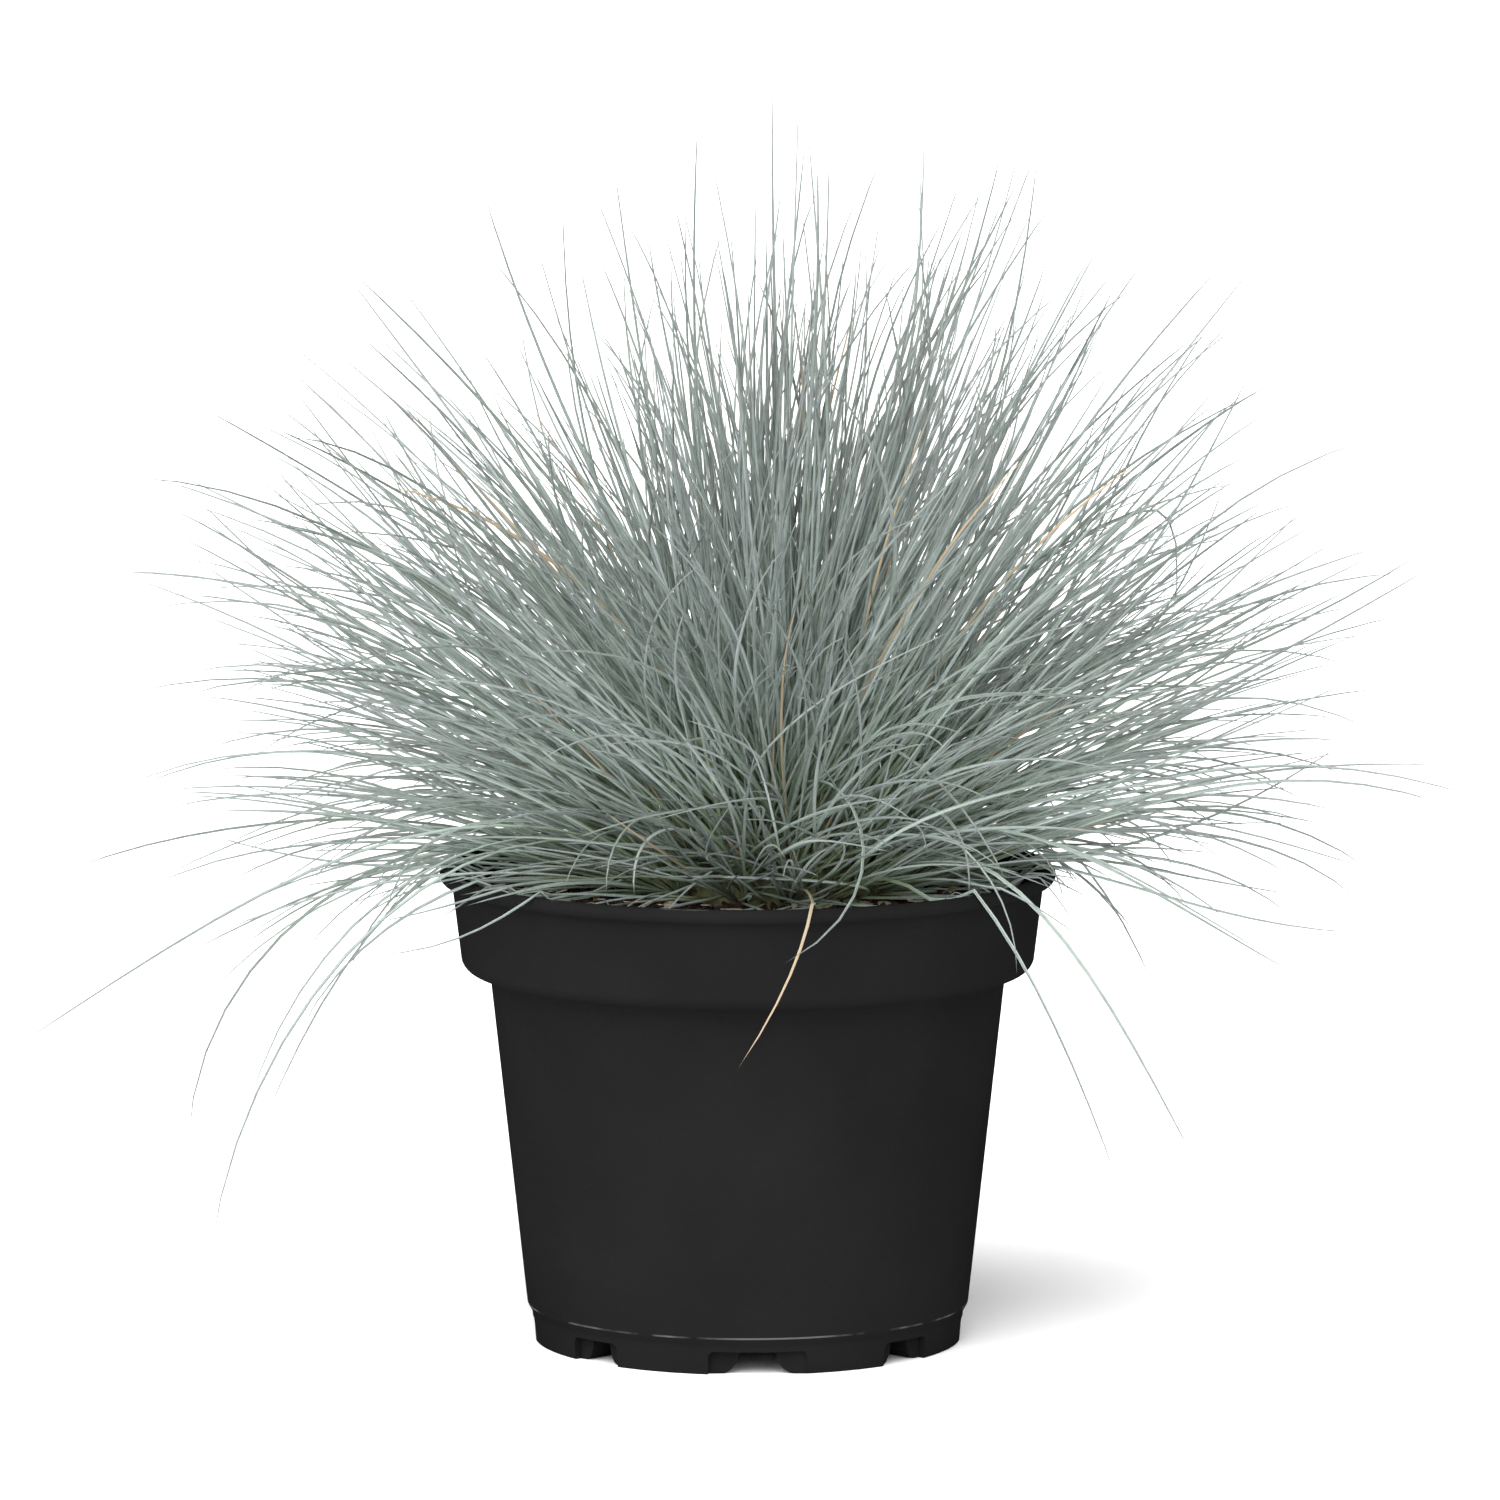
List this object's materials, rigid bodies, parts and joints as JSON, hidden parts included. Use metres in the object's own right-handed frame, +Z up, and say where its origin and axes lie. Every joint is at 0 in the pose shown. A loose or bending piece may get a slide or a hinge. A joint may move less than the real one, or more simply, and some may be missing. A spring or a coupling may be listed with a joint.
{
  "type": "potted blue fescue clump",
  "caption": "Dense spiky clump of fine blue-grey fescue leaves growing from soil in a round black nursery pot with a deep collar and an arched foot.",
  "frame": {"origin": "on the pot's axis, on the surface that its foot stands on; within the tolerance it is also the middle of the foliage's outline", "axes": "+Z up along the pot's axis, -Y towards the front (the side that the picture shows), +X to the right seen from the front"},
  "size_m": [0.4372, 0.4022, 0.3801],
  "materials": {
    "pot_plastic": "matte",
    "soil": "matte",
    "crown_sheaths": "matte",
    "foliage": "matte"
  },
  "bodies": {
    "root": {"pot": "pot_plastic", "soil": "soil", "crown": "crown_sheaths", "tuft_01": "foliage", "tuft_02": "foliage", "tuft_03": "foliage", "tuft_04": "foliage", "tuft_05": "foliage", "tuft_06": "foliage", "tuft_07": "foliage", "tuft_08": "foliage", "tuft_09": "foliage", "tuft_10": "foliage", "tuft_11": "foliage", "tuft_12": "foliage", "tuft_13": "foliage", "tuft_14": "foliage", "tuft_15": "foliage", "tuft_16": "foliage", "tuft_17": "foliage", "tuft_18": "foliage", "tuft_19": "foliage", "tuft_20": "foliage", "tuft_21": "foliage", "tuft_22": "foliage", "tuft_23": "foliage", "tuft_24": "foliage", "tuft_25": "foliage", "tuft_26": "foliage", "tuft_27": "foliage", "tuft_28": "foliage", "tuft_29": "foliage", "tuft_30": "foliage", "tuft_31": "foliage", "tuft_32": "foliage", "tuft_33": "foliage", "tuft_34": "foliage", "tuft_35": "foliage", "tuft_36": "foliage", "tuft_37": "foliage", "tuft_38": "foliage", "tuft_39": "foliage", "tuft_40": "foliage", "tuft_41": "foliage", "tuft_42": "foliage", "tuft_43": "foliage", "leaf_01": "foliage", "leaf_02": "foliage", "leaf_03": "foliage", "leaf_04": "foliage", "leaf_05": "foliage", "leaf_06": "foliage", "leaf_07": "foliage", "leaf_08": "foliage", "leaf_09": "foliage", "leaf_10": "foliage"}
  },
  "joints": []
}
